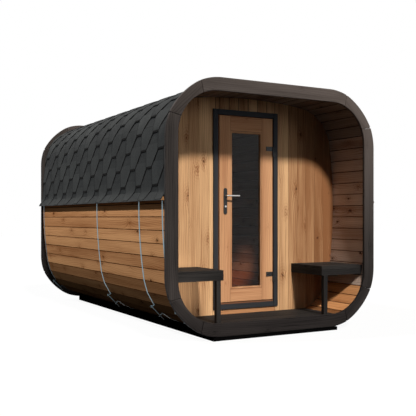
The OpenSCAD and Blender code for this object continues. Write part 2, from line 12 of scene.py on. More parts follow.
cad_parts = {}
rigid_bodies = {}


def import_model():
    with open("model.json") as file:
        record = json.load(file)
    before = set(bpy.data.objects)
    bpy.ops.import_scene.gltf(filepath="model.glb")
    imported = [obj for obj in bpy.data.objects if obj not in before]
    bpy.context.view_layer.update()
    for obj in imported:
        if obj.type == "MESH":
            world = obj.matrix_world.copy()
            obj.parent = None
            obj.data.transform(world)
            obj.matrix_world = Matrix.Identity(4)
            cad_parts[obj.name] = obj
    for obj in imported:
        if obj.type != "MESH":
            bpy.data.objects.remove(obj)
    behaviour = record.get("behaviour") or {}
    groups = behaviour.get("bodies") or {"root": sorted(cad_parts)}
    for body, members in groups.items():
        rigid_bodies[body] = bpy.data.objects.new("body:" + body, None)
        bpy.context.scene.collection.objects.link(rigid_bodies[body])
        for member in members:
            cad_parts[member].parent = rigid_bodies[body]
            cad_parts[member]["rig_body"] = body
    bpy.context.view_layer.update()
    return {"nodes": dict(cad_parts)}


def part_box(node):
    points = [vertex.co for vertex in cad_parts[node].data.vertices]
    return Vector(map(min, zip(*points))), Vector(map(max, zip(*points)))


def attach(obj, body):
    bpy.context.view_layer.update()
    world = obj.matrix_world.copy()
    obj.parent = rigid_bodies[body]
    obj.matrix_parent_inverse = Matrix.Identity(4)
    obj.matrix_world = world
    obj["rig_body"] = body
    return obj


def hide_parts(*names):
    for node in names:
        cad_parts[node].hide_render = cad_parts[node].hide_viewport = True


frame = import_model()
nodes = frame["nodes"]
bpy.ops.object.select_all(action="DESELECT")

# ---- Studio ---------------------------------------------------------------------------
# A level camera in front of the left corner, two suns, a white room and a pale floor.
# One sun looks into the porch, the other rakes the left side and the roof from behind.

EYE = (-3.372, -6.612, 0.981)
TURN = -28.88
ROOM_LIGHT = 0.34
LOW_ROOM_LIGHT = 0.08 * ROOM_LIGHT
WARM_SUN = (1.0, 0.93, 0.84)
STOVE_GLOW = (1.0, 0.46, 0.24)
WHITE = (1, 1, 1, 1)

camera_data = bpy.data.cameras.new("camera")
camera_data.lens = 61.5
camera_data.sensor_width = 36
camera_data.shift_y = 0.0231
camera_data.clip_end = 200
camera = bpy.data.objects.new("camera", camera_data)
camera.location = EYE
camera.rotation_euler = (math.radians(90), 0, math.radians(TURN))
bpy.context.scene.collection.objects.link(camera)
bpy.context.scene.camera = camera


def lamp(name, kind, power, colour, travel):
    """A lamp whose light travels along a direction."""
    made = bpy.data.lights.new(name, kind)
    made.energy = power
    made.color = colour
    hung = bpy.data.objects.new(name, made)
    hung.rotation_euler = Vector(travel).to_track_quat("-Z", "Y").to_euler()
    bpy.context.scene.collection.objects.link(hung)
    return hung


def sun(name, travel, power, spread, colour=(1, 1, 1)):
    """A sun, its edge as soft as its spread in degrees."""
    hung = lamp(name, "SUN", power, colour, travel)
    hung.data.angle = math.radians(spread)
    return hung


def spot_lamp(name, place, target, power, cone, colour):
    """A soft-edged lamp aimed at a point, which doesn't show in panes or metal."""
    hung = lamp(name, "SPOT", power, colour, Vector(target) - Vector(place))
    hung.location = place
    hung.data.spot_size = math.radians(cone)
    hung.data.spot_blend = 0.7
    hung.data.shadow_soft_size = 0.12
    hung.visible_glossy = False
    return hung


sun("porch_sun", (0.09, 1.0, -0.95), 4.1, 6, WARM_SUN)
sun("side_sun", (1.0, -0.35, -1.35), 3.0, 3)
fill = sun("right_fill", (-0.8, 1.0, -0.08), 0.6, 25)
fill.visible_glossy = False
fill.visible_transmission = False
spot_lamp("bench_fill", (-1.12, -3.5, 0.42), (-0.74, -1.2, 0.36), 130, 15, WARM_SUN)
spot_lamp("cabin_glow", (0.25, 0.15, 1.3), (0.93, 0.40, 0.22), 32, 30, STOVE_GLOW)


def plug(tree, node, sockets):
    """Sets a node's sockets to values, or joins them to other nodes."""
    for socket, value in sockets.items():
        if isinstance(value, bpy.types.NodeSocket):
            tree.links.new(value, node.inputs[socket])
        else:
            node.inputs[socket].default_value = value


def wire(tree, kind, sockets=None, **settings):
    """A new shader node with its settings made and its sockets plugged."""
    made = tree.nodes.new("ShaderNode" + kind)
    for setting, value in settings.items():
        setattr(made, setting, value)
    plug(tree, made, sockets or {})
    return made


def reckon(tree, operation, *values, clamp=False):
    """The result of one step of arithmetic."""
    sockets = dict(enumerate(values))
    return wire(tree, "Math", sockets, operation=operation, use_clamp=clamp).outputs[0]


def rising(tree, value, start, end, top=1.0, foot=0.0):
    """A value that goes from foot to top while another goes from start to end."""
    sockets = {"Value": value, "From Min": start, "From Max": end, "To Min": foot, "To Max": top}
    return wire(tree, "MapRange", sockets).outputs["Result"]


def mixed(tree, factor, under, over, way="MIX"):
    """One colour laid over another."""
    sockets = {"Factor": factor, "A": under, "B": over}
    return wire(tree, "Mix", sockets, data_type="RGBA", blend_type=way).outputs["Result"]


world = bpy.data.worlds.new("white_room")
bpy.context.scene.world = world
world.use_nodes = True
tree = world.node_tree
tree.nodes.clear()
rays = wire(tree, "LightPath").outputs
seen = reckon(tree, "MAXIMUM", rays["Is Camera Ray"], rays["Is Glossy Ray"])
seen = reckon(tree, "MAXIMUM", seen, rays["Is Transmission Ray"])
toward = wire(tree, "TexCoord").outputs["Generated"]
height = wire(tree, "SeparateXYZ", {0: toward}).outputs[2]
air = mixed(tree, height, (0.72, 0.86, 1.0, 1), (1.0, 0.985, 0.97, 1))
strength = rising(tree, height, 0, 1, top=ROOM_LIGHT, foot=LOW_ROOM_LIGHT)
room = wire(tree, "Background", {"Color": air, "Strength": strength})
white = wire(tree, "Background", {"Color": WHITE, "Strength": 1.0})
shown = wire(tree, "MixShader", {0: seen, 1: room.outputs[0], 2: white.outputs[0]})
wire(tree, "OutputWorld", {"Surface": shown.outputs[0]})

bpy.ops.mesh.primitive_plane_add(size=60)
floor = bpy.context.object
floor.name = "floor"
pale = bpy.data.materials.new("pale_floor")
pale.use_nodes = True
tree = pale.node_tree
tree.nodes.clear()
rays = wire(tree, "LightPath").outputs
seen = reckon(tree, "MAXIMUM", rays["Is Camera Ray"], rays["Is Glossy Ray"])
tint = mixed(tree, seen, (0.03, 0.029, 0.028, 1), (0.8, 0.8, 0.8, 1))
matt = wire(tree, "BsdfDiffuse", {"Color": tint})
glow = wire(tree, "Emission", {"Color": WHITE, "Strength": 1.0})
share = reckon(tree, "MULTIPLY", seen, 0.94)
shown = wire(tree, "MixShader", {0: share, 1: matt.outputs[0], 2: glow.outputs[0]})
wire(tree, "OutputMaterial", {"Surface": shown.outputs[0]})
floor.data.materials.append(pale)

# ---- Base -----------------------------------------------------------------------------
# Two runners along the cabin and cross beams between them, sawn from softwood, impregnated
# black-brown and screwed together. Each beam's edges are eased and its grain runs along it.

FIGURE_RUN = 60
WELD = 0.00002
FLAT = math.radians(0.4)

draw = random.Random(7)


def srgb(red, green, blue):
    """A colour of 0 to 255 steps as shader values."""
    def linear(step):
        c = step / 255
        return c / 12.92 if c <= 0.04045 else ((c + 0.055) / 1.055) ** 2.4
    return (linear(red), linear(green), linear(blue), 1.0)


def islands(bm):
    """The faces of each separate board of a mesh."""
    left = set(bm.faces)
    while left:
        board = {left.pop()}
        edge = list(board)
        while edge:
            face = edge.pop()
            for rim in face.edges:
                for other in rim.link_faces:
                    if other in left:
                        left.discard(other)
                        board.add(other)
                        edge.append(other)
        yield sorted(board, key=lambda f: f.index)


def face_values(bm, name):
    """The numbers of one kind that a mesh's faces carry for the finish."""
    return bm.faces.layers.float.get(name) or bm.faces.layers.float.new(name)


def joint_faces(board, areas):
    """The small faces round the mitred ends of a board, which are known by their area."""
    found = set()
    for face in board:
        if areas[0] < face.calc_area() < areas[1]:
            for rim in face.edges:
                for other in rim.link_faces:
                    if other.calc_area() < areas[1]:
                        found.add(other)
    return found


def chamfer_faces(board, grain):
    """The narrow faces along a board that lean away from its broadest face."""
    broad = max(board, key=lambda f: f.calc_area())
    flat = broad.normal.copy()
    narrow = 0.12 * broad.calc_area()
    found = set()
    for face in board:
        leaning = abs(face.normal.dot(flat)) < 0.97 and abs(face.normal.dot(grain)) < 0.5
        if leaning and face.calc_area() < narrow:
            found.add(face)
    return found


def lay_grain(piece, along=None, drift=None, joint=None):
    """Gives each board its own stretch of figure, in metres, along its longest direction."""
    bm = bmesh.new()
    bm.from_mesh(piece.data)
    bm.verts.index_update()
    bm.faces.index_update()
    figure = bm.loops.layers.uv.get("figure") or bm.loops.layers.uv.new("figure")
    tone = face_values(bm, "tone")
    groove = face_values(bm, "groove")
    under = face_values(bm, "under")
    boards = sorted(islands(bm), key=lambda b: b[0].index)
    for board in boards:
        corners = sorted({v for f in board for v in f.verts}, key=lambda v: v.index)
        spots = np.array([v.co for v in corners])
        values, ways = np.linalg.eigh(np.cov((spots - spots.mean(0)).T))
        grain = Vector(along or ways[:, 2]).normalized()
        start = (draw.uniform(0, FIGURE_RUN), draw.uniform(0, FIGURE_RUN))
        shade = draw.random() + (drift(spots.mean(0)) if drift else 0.0)
        grooved = joint_faces(board, joint) if joint else chamfer_faces(board, grain)
        for face in board:
            across = face.normal.cross(grain)
            down = grain
            if across.length < 0.5:
                across = face.normal.orthogonal()
                down = face.normal.cross(across)
            across.normalize()
            face[tone] = shade
            # how far a face turns downwards, which the stave finish darkens as painted shade
            face[under] = max(0.0, -face.normal.z)
            face[groove] = 1.0 if face in grooved else 0.0
            for loop in face.loops:
                spot = loop.vert.co
                loop[figure].uv = (start[0] + spot.dot(down), start[1] + spot.dot(across))
    bm.to_mesh(piece.data)
    bm.free()


def pick_up(pieces):
    """Selects these pieces alone, with the first of them active."""
    bpy.ops.object.select_all(action="DESELECT")
    for piece in pieces:
        piece.select_set(True)
    bpy.context.view_layer.objects.active = pieces[0]


def copy_of(node):
    """A node's mesh as a bare piece, welded and left in edit mode."""
    piece = nodes[node].copy()
    piece.data = nodes[node].data.copy()
    piece.parent = None
    for key in list(piece.keys()):
        del piece[key]
    bpy.context.scene.collection.objects.link(piece)
    piece.data.materials.clear()
    pick_up([piece])
    bpy.ops.object.mode_set(mode="EDIT")
    bpy.ops.mesh.select_all(action="SELECT")
    bpy.ops.mesh.remove_doubles(threshold=WELD)
    return piece


def boards_of(node, name, ease=0.0015, along=None, joint=None):
    """A node's boards as a piece of their own with eased edges, standing for the node."""
    piece = copy_of(node)
    piece.name = name
    bpy.ops.mesh.dissolve_limited(angle_limit=FLAT)
    bpy.ops.object.mode_set(mode="OBJECT")
    finish_piece(piece, node, ease, along, joint=joint)
    return piece


def finish_piece(piece, node, ease, along=None, drift=None, joint=None):
    """Eases a piece's edges, lays its grain and puts it in the node's place."""
    if ease:
        bevel = piece.modifiers.new("ease", "BEVEL")
        bevel.width = ease
        bevel.segments = 2
        bevel.limit_method = "ANGLE"
        bevel.angle_limit = math.radians(40)
        bpy.ops.object.modifier_apply(modifier="ease")
    bpy.ops.object.shade_smooth_by_angle(angle=math.radians(25))
    lay_grain(piece, along, drift, joint)
    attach(piece, nodes[node]["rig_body"])
    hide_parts(node)
    piece.select_set(False)


def carried(tree, name):
    """A number that a piece's faces carry."""
    return wire(tree, "Attribute", attribute_name=name).outputs["Fac"]


def timber_figure():
    """Softwood figure on a board's own map: growth lines, slow tone, fibres and knots."""
    group = bpy.data.node_groups.new("timber_figure", "ShaderNodeTree")
    takes = {"Light": "Color", "Dark": "Color", "Knot": "Color", "Lines": "Float",
             "Knots": "Float", "Spread": "Float", "Groove": "Float"}
    gives = {"Color": "Color", "Height": "Float", "Roughness": "Float"}
    for way, sockets in (("INPUT", takes), ("OUTPUT", gives)):
        for name, kind in sockets.items():
            group.interface.new_socket(name=name, in_out=way, socket_type="NodeSocket" + kind)
    given = group.nodes.new("NodeGroupInput").outputs
    knot_cells = 4.2
    lines_per_metre = 62

    def step(operation, *values, clamp=False):
        return reckon(group, operation, *values, clamp=clamp)

    def shaped(operation, *values):
        return wire(group, "VectorMath", dict(enumerate(values)), operation=operation).outputs[0]

    def noise(scale, detail, rough=0.5):
        stretch = wire(group, "Mapping", {"Vector": place, "Scale": (*scale, 1)})
        sockets = {"Vector": stretch.outputs[0], "Scale": 1, "Detail": detail, "Roughness": rough}
        return wire(group, "TexNoise", sockets, noise_dimensions="2D").outputs["Fac"]

    place = wire(group, "UVMap", uv_map="figure").outputs["UV"]
    across = wire(group, "SeparateXYZ", {0: place}).outputs[1]

    # knots sit in bent cells: each has a heart, curls and a halo round it, and a streak
    wobble = wire(group, "TexNoise", {"Vector": place, "Scale": 38}, noise_dimensions="2D").outputs
    bent = shaped("SUBTRACT", wobble["Color"], (0.5, 0.5, 0.5))
    bent = shaped("MULTIPLY", bent, (0.03, 0.02, 0))
    bent = shaped("ADD", bent, place)
    bent = shaped("MULTIPLY", bent, (0.62, 1.0, 1.0))
    sockets = {"Vector": bent, "Scale": knot_cells}
    cells = wire(group, "TexVoronoi", sockets, voronoi_dimensions="2D").outputs
    away = step("DIVIDE", cells["Distance"], knot_cells)
    sizes = wire(group, "SeparateColor", {0: cells["Color"]}).outputs
    kept = step("GREATER_THAN", sizes[1], 0.2)
    kept = step("MULTIPLY", kept, given["Knots"])
    radius = step("MULTIPLY_ADD", step("POWER", sizes[0], 2), 0.008, 0.003)
    heart = step("SUBTRACT", 1.5, step("DIVIDE", away, radius), clamp=True)
    heart = step("MULTIPLY", heart, kept)
    curl = step("MULTIPLY_ADD", away, 60, step("MULTIPLY", wobble["Fac"], 1.5))
    curl = step("POWER", step("FRACT", curl), 3)
    curl = step("MULTIPLY", curl, step("EXPONENT", step("MULTIPLY", away, -40)))
    curl = step("MULTIPLY", curl, kept)
    halo = step("EXPONENT", step("MULTIPLY", away, -42))
    halo = step("MULTIPLY", halo, kept)
    offset = wire(group, "SeparateXYZ", {0: shaped("SUBTRACT", bent, cells["Position"])}).outputs
    run = step("MULTIPLY", step("ABSOLUTE", offset[0]), -16)
    spill = step("MULTIPLY", step("ABSOLUTE", offset[1]), -170)
    streak = step("EXPONENT", step("ADD", run, spill))
    streak = step("MULTIPLY", streak, kept)

    # growth lines wander and pass round the knots
    wander = step("MULTIPLY", noise((0.9, 5), 2), 5.5)
    rings = step("MULTIPLY_ADD", across, lines_per_metre, wander)
    rings = step("MULTIPLY_ADD", halo, 3.2, rings)
    rings = step("POWER", step("FRACT", rings), 2.4)
    rings = step("MULTIPLY", rings, given["Lines"])

    # the depth of tone gathers the slow tone, the board's own, lines, fibres and checks
    checks = rising(group, noise((1.1, 130), 2), 0.66, 0.72, top=0.45)
    fibres = noise((5, 420), 3, 0.6)
    depth = step("MULTIPLY_ADD", noise((0.55, 11), 3), 1.15, -0.28)
    board = step("MULTIPLY", step("SUBTRACT", carried(group, "tone"), 0.5), given["Spread"])
    depth = step("ADD", depth, board)
    depth = step("MULTIPLY_ADD", rings, 0.42, depth)
    depth = step("MULTIPLY_ADD", step("SUBTRACT", fibres, 0.5), 0.55, depth)
    depth = step("MULTIPLY_ADD", halo, 0.22, depth)
    depth = step("MULTIPLY_ADD", streak, 0.3, depth)
    depth = step("MULTIPLY_ADD", curl, 1.3, depth)
    depth = step("ADD", depth, checks, clamp=True)

    # colour, with the joints between boards darkened as painted shade, then relief and roughness
    colour = mixed(group, depth, given["Light"], given["Dark"])
    colour = mixed(group, step("MULTIPLY", heart, 0.9, clamp=True), colour, given["Knot"])
    painted_joint_shade = step("MULTIPLY", carried(group, "groove"), given["Groove"])
    colour = mixed(group, painted_joint_shade, colour, srgb(70, 52, 44), "MULTIPLY")
    relief = step("MULTIPLY_ADD", rings, -0.4, step("MULTIPLY", fibres, 0.6))
    relief = step("MULTIPLY_ADD", heart, 0.3, relief)
    rough = step("MULTIPLY_ADD", fibres, 0.25, step("MULTIPLY_ADD", rings, -0.1, 0.5))
    result = group.nodes.new("NodeGroupOutput")
    plug(group, result, {"Color": colour, "Height": relief, "Roughness": rough})
    return group


figure = timber_figure()


def new_finish(name):
    """A new finish with its node tree and its skin."""
    made = bpy.data.materials.new(name)
    made.use_nodes = True
    return made, made.node_tree, made.node_tree.nodes["Principled BSDF"]


def timber(name, light, dark, knot, lines=1.0, knots=1.0, spread=0.5, groove=0.8,
           relief=0.0004, gloss=0.1):
    """A timber finish from the shared figure."""
    made, tree, skin = new_finish(name)
    sockets = {"Light": srgb(*light), "Dark": srgb(*dark), "Knot": srgb(*knot),
               "Lines": lines, "Knots": knots, "Spread": spread, "Groove": groove}
    figured = wire(tree, "Group", sockets, node_tree=figure).outputs
    bump = wire(tree, "Bump", {"Strength": 0.6, "Distance": relief, "Height": figured["Height"]})
    plug(tree, skin, {"Base Color": figured["Color"], "Roughness": figured["Roughness"],
                      "Specular IOR Level": gloss, "Normal": bump.outputs["Normal"]})
    return made


black_timber = timber("black_timber", (9, 9, 10), (5, 5, 5), (3, 3, 3),
                      lines=0.6, knots=0.5, spread=0.3, gloss=0.0)
for node, name in (("base_runners", "runners"), ("base_cross_beams", "cross_beams")):
    beams = boards_of(node, name, ease=0.002)
    beams.data.materials.append(black_timber)

# ---- Staves ---------------------------------------------------------------------------
# Planed spruce staves with a bead on one edge and a cove on the other, oiled outside and bare
# inside, their inner faces tinted cooler and greyer as painted shade. They run the whole length of
# the cabin and carry the porch.

SHELL_MIDDLE = 1.07
# a cooler, greyer tint for the staves' inner faces, which stands in for shade
INSIDE_SHADE_TINT = (0.86, 1.35, 2.6, 1)


def skin_colour(tree):
    """The skin of a finish and what colours it so far."""
    skin = tree.nodes["Principled BSDF"]
    return skin, skin.inputs["Base Color"].links[0].from_socket


stave_timber = timber("stave_timber", (230, 171, 118), (160, 104, 64), (50, 24, 14),
                      knots=1.0, spread=0.5, groove=1.0, gloss=0.0)
tree = stave_timber.node_tree
skin, oiled = skin_colour(tree)
# painted shade: faces turned downwards are darkened towards grey, standing in for the shade under
# the shell
underside_shade = rising(tree, carried(tree, "under"), 0, 0.36)
darker = mixed(tree, underside_shade, oiled, srgb(158, 162, 164), "MULTIPLY")
# painted shade: the faces inside the shell are tinted cooler and greyer, for the shade in the
# porch
shaded_inside = mixed(tree, carried(tree, "inside"), darker, INSIDE_SHADE_TINT, "MULTIPLY")
plug(tree, skin, {"Base Color": shaded_inside})


def mark_inside(piece):
    """Marks the faces that look into the shell from its sides and ceiling."""
    bm = bmesh.new()
    bm.from_mesh(piece.data)
    inside = face_values(bm, "inside")
    for face in bm.faces:
        spot = face.calc_center_median()
        inward = Vector((-spot.x, 0, SHELL_MIDDLE - spot.z)).normalized()
        lining = face.normal.dot(inward) > 0.5 and face.normal.z < 0.3
        face[inside] = 1.0 if lining else 0.0
    bm.to_mesh(piece.data)
    bm.free()


for part in ("bottom", "lower_right", "right_wall", "upper_right",
             "ceiling", "upper_left", "left_wall", "lower_left"):
    staves = boards_of(part + "_staves", part + "_boards", ease=0, along=(0, 1, 0))
    mark_inside(staves)
    staves.data.materials.append(stave_timber)

# ---- Rings ----------------------------------------------------------------------------
# The end rings are sawn from wide boards, four straight and four bent, and stained a dark
# grey-brown that lets the grain through. They cover the ends of the staves.

# the area of a ring board's mitred end lies between these, in square metres
RING_END_AREAS = (0.0014, 0.0036)


def object_place(tree):
    """The place of a point on the part."""
    return wire(tree, "TexCoord").outputs["Object"]


dark_timber = timber("dark_timber", (53, 51, 50), (20, 20, 21), (12, 11, 11),
                     lines=0.8, knots=0.35, spread=0.25, groove=0, relief=0.0006, gloss=0.03)
ring_timber = timber("ring_timber", (66, 62, 61), (17, 16, 16), (12, 11, 11),
                     lines=1.1, knots=0.35, spread=0.2, groove=1, relief=0.001, gloss=0.03)
tree = ring_timber.node_tree
skin, stained = skin_colour(tree)
place = object_place(tree)

# painted light and shade: lighter high up and towards the right, and darker low down
painted_light_slope = wire(tree, "VectorMath", {0: place, 1: (0.42, 0, 1)}, operation="DOT_PRODUCT")
painted_top_light = rising(tree, painted_light_slope.outputs["Value"], 1.25, 2.3, top=0.95)
lit_high = mixed(tree, painted_top_light, stained, srgb(72, 65, 62), "ADD")
height = wire(tree, "SeparateXYZ", {0: place}).outputs[2]
painted_low_shade = rising(tree, height, 0.9, 0.15, top=0.9)
shaded_low = mixed(tree, painted_low_shade, lit_high, srgb(180, 179, 182), "MULTIPLY")
plug(tree, skin, {"Base Color": shaded_low})
for end in ("front", "rear"):
    for part in ("sides", "corners"):
        ring = boards_of(f"{end}_ring_{part}", f"{end}_ring_{part}_boards", ease=0.0045,
                         joint=RING_END_AREAS)
        ring.data.materials.append(ring_timber)

# ---- Hoops ----------------------------------------------------------------------------
# Stainless bands pull the staves together. Each band ends in folded lugs in both lower
# corners, where a threaded rod with a nut at each lug draws it tight.


def metal(name, colour, rough, metallic=1.0):
    """A metal finish with a faint uneven sheen."""
    made, tree, skin = new_finish(name)
    cloud = wire(tree, "TexNoise", {"Vector": object_place(tree), "Scale": 60, "Detail": 4})
    haze = rising(tree, cloud.outputs["Fac"], 0, 1, top=rough + 0.12, foot=rough - 0.12)
    plug(tree, skin, {"Base Color": srgb(*colour), "Metallic": metallic, "Roughness": haze})
    return made


def coat(node, finish):
    """Gives a node's own mesh a finish."""
    nodes[node].data.materials.clear()
    nodes[node].data.materials.append(finish)


# painted shade: dark at the foot, under the shell, and the band's own colour above
band_steel = metal("band_steel", (128, 148, 160), 0.45, metallic=0.7)
tree = band_steel.node_tree
height = wire(tree, "SeparateXYZ", {0: object_place(tree)}).outputs[2]
shaded_foot = mixed(tree, rising(tree, height, 0.13, 0.34), srgb(30, 30, 31), srgb(130, 154, 164))
plug(tree, tree.nodes["Principled BSDF"], {"Base Color": shaded_foot})
for node in ("steel_hoops", "tension_rods"):
    coat(node, band_steel)

# ---- Roof -----------------------------------------------------------------------------
# Bitumen shingles with slate granules, nailed in courses over the covering from the flared
# eaves up to the ridge. Each strip has tapered tabs and laps the strip below it, and caps
# laid across the ridge close the top.

TAB_PITCH = 1 / 3
TAB_FOOT = 0.10
FRONT_RUN = 0.105
REAR_RUN = 0.030
TAB_TOP = TAB_FOOT + FRONT_RUN + REAR_RUN
SIDE_GAP = (TAB_PITCH - TAB_TOP) / 2
COURSE = 0.145
LAP = 0.05
LAP_SEAM = 0.003
FOOT_SHADOW_BAND = 0.014
SIDE_SHADOW_BAND = 0.006
SHINGLE = 0.0026
LIFT = 0.0036
STARTER_LIFT = 0.0002
CLEAR = 0.0003
TRIM = 0.001
EAVE_TRIM = 0.01
FIRST_TAB = -1.488
FIRST_COURSE = 0.131
STAGGER = 0.2
CAP_WIDTH = 0.30
CAP_RISE = 0.0085

cover = nodes["roof_covering"]
roof_low, roof_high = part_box("roof_covering")


def roof_line():
    """The covering's outer line in X and Z, from the right eave up to the ridge."""
    middle = Vector((0, 0, roof_low.z - 0.1))
    spots = set()
    for face in cover.data.polygons:
        out = face.center - middle
        out.y = 0
        if abs(face.normal.y) < 0.1 and face.normal.dot(out.normalized()) > 0.4:
            for index in face.vertices:
                spot = cover.data.vertices[index].co
                if spot.x > -0.001:
                    spots.add((round(spot.x, 4), round(spot.z, 4)))
    return np.array(sorted(spots, key=lambda p: math.atan2(p[1] - middle.z, p[0])))


def smooth_path(line):
    """Close points along the line, straight over the flare and rounded above it."""
    spots = [line[0] + (line[1] - line[0]) * f for f in np.linspace(0, 1, 20, endpoint=False)]
    ways = [line[2] - line[1]]
    for i in range(2, len(line) - 1):
        ways.append(line[i + 1] - line[i - 1])
    ways.append(np.array([-1.0, 0.0]))
    ways = [way / np.hypot(*way) for way in ways]
    for i in range(1, len(line) - 1):
        a, b = line[i], line[i + 1]
        run = np.hypot(*(b - a))
        for f in np.linspace(0, 1, 24, endpoint=False):
            spots.append((2 * f ** 3 - 3 * f ** 2 + 1) * a + (3 * f ** 2 - 2 * f ** 3) * b
                         + (f ** 3 - 2 * f ** 2 + f) * run * ways[i - 1]
                         + (f ** 3 - f ** 2) * run * ways[i])
    spots.append(line[-1])
    return np.array(spots)


roof_path = smooth_path(roof_line())
roof_way = np.gradient(roof_path, axis=0)
roof_way /= np.hypot(roof_way[:, 0], roof_way[:, 1])[:, None]
run_up = np.concatenate([[0], np.cumsum(np.hypot(*np.diff(roof_path, axis=0).T))])


def on_roof(up, rise, side):
    """The point at a distance up the roof from one eave, at a height off the covering."""
    x = np.interp(up, run_up, roof_path[:, 0]) + rise * np.interp(up, run_up, roof_way[:, 1])
    z = np.interp(up, run_up, roof_path[:, 1]) - rise * np.interp(up, run_up, roof_way[:, 0])
    return side * x, z


def pick(piece, wanted):
    """Selects a piece's vertices by their place, in edit mode."""
    bm = bmesh.from_edit_mesh(piece.data)
    bpy.ops.mesh.select_all(action="DESELECT")
    for v in bm.verts:
        v.select = wanted(v.co)
    bm.select_flush(True)
    bmesh.update_edit_mesh(piece.data)


def pull(piece, wanted, way):
    """Extrudes the picked vertices along a way."""
    pick(piece, wanted)
    bpy.ops.mesh.extrude_region_move(TRANSFORM_OT_translate={"value": way})


def cut(co, no, **options):
    """Bisects the whole mesh in edit mode."""
    bpy.ops.mesh.select_all(action="SELECT")
    bpy.ops.mesh.bisect(plane_co=co, plane_no=no, **options)


def repeat(piece, count, pace, weld=0.0):
    """Sets copies of a piece in a row, welded where they meet if asked."""
    row = piece.modifiers.new("row", "ARRAY")
    row.count = count
    row.use_relative_offset = False
    row.use_constant_offset = True
    row.constant_offset_displace = pace
    row.use_merge_vertices = weld > 0
    row.merge_threshold = weld
    bpy.ops.object.modifier_apply(modifier="row")


def thicken(piece):
    """Gives a flat piece the thickness of a shingle."""
    felt = piece.modifiers.new("felt", "SOLIDIFY")
    felt.thickness = SHINGLE
    felt.offset = 1
    bpy.ops.object.modifier_apply(modifier="felt")


def face_out():
    """Turns the faces outwards and leaves edit mode."""
    bpy.ops.mesh.select_all(action="SELECT")
    bpy.ops.mesh.normals_make_consistent(inside=False)
    bpy.ops.object.mode_set(mode="OBJECT")


# one tab, flat: X runs from the front of the roof to the rear, Y from the foot up to the lap
bpy.ops.mesh.primitive_plane_add(size=1)
strip = bpy.context.object
bpy.ops.object.mode_set(mode="EDIT")
seam = COURSE + LAP_SEAM
bpy.ops.transform.resize(value=(TAB_TOP, seam, 1))
bpy.ops.transform.translate(value=(TAB_TOP / 2 - TAB_FOOT / 2 - FRONT_RUN, seam / 2, 0))
pick(strip, lambda c: c.y < 0.001 and c.x < 0)
bpy.ops.transform.translate(value=(FRONT_RUN, 0, 0))
pick(strip, lambda c: c.y < 0.001 and c.x > 0)
bpy.ops.transform.translate(value=(-REAR_RUN, 0, 0))
pull(strip, lambda c: c.y > COURSE, (0, LAP, 0))
pull(strip, lambda c: c.y > COURSE and c.x < 0, (-SIDE_GAP, 0, 0))
pull(strip, lambda c: c.y > COURSE and 0 < c.x < TAB_FOOT / 2 + REAR_RUN + 0.001,
     (SIDE_GAP, 0, 0))
for row in (FOOT_SHADOW_BAND, COURSE / 4, COURSE / 2, COURSE * 3 / 4):
    cut((0, row, 0), (0, 1, 0))
bpy.ops.object.mode_set(mode="OBJECT")
TABS = math.ceil((roof_high.y - roof_low.y) / TAB_PITCH) + 2
repeat(strip, TABS, (TAB_PITCH, 0, 0), weld=0.0005)

# the cut edges of the tabs, where the dark felt shows, and painted shadow in bands along the tabs'
# feet and sides
bpy.ops.object.mode_set(mode="EDIT")
bpy.ops.mesh.select_all(action="SELECT")
bpy.ops.mesh.inset(thickness=SIDE_SHADOW_BAND, use_boundary=True)
bm = bmesh.from_edit_mesh(strip.data)
edge = face_values(bm, "edge")
for face in bm.faces:
    y = face.calc_center_median().y
    face[edge] = 1.0 if y < FOOT_SHADOW_BAND or (y < COURSE - 0.001 and not face.select) else 0.0
bmesh.update_edit_mesh(strip.data)
bpy.ops.object.mode_set(mode="OBJECT")


def lay_course(step, side):
    """One course of tabs, trimmed at both ends, thickened and laid on the roof."""
    course = strip.copy()
    course.data = strip.data.copy()
    bpy.context.scene.collection.objects.link(course)
    pick_up([course])
    centre = FIRST_TAB - STAGGER * (step - 1)
    start = centre + math.floor((roof_low.y - centre) / TAB_PITCH) * TAB_PITCH
    foot = FIRST_COURSE + COURSE * (step - 1)
    bpy.ops.object.mode_set(mode="EDIT")
    bpy.ops.mesh.select_all(action="SELECT")
    bpy.ops.transform.translate(value=(start, foot, 0))
    cut((roof_low.y + TRIM, 0, 0), (1, 0, 0), clear_inner=True)
    cut((roof_high.y - TRIM, 0, 0), (1, 0, 0), clear_outer=True)
    if foot < EAVE_TRIM:
        cut((0, EAVE_TRIM, 0), (0, 1, 0), clear_inner=True)
    if foot + COURSE + LAP > run_up[-1]:
        cut((0, run_up[-1] - TRIM, 0), (0, 1, 0), clear_outer=True)
    bpy.ops.object.mode_set(mode="OBJECT")
    thicken(course)
    tone = course.data.attributes.new("tone", "FLOAT", "FACE")
    tints = [draw.random() for tab in range(TABS + 2)]
    for face in course.data.polygons:
        tab = int((face.center.x - start + TAB_PITCH) / TAB_PITCH)
        tone.data[face.index].value = tints[min(tab, TABS + 1)]
    lift = LIFT if step > 0 else STARTER_LIFT
    for v in course.data.vertices:
        slope = max(0.0, 1 - (v.co.y - foot) / (COURSE + LAP))
        x, z = on_roof(v.co.y, v.co.z + lift * slope + CLEAR, side)
        v.co = (x, v.co.x, z)
    bpy.ops.object.mode_set(mode="EDIT")
    face_out()
    return course


def join(pieces, name):
    """Joins pieces into one."""
    pick_up(pieces)
    bpy.ops.object.join()
    pieces[0].name = name
    return pieces[0]


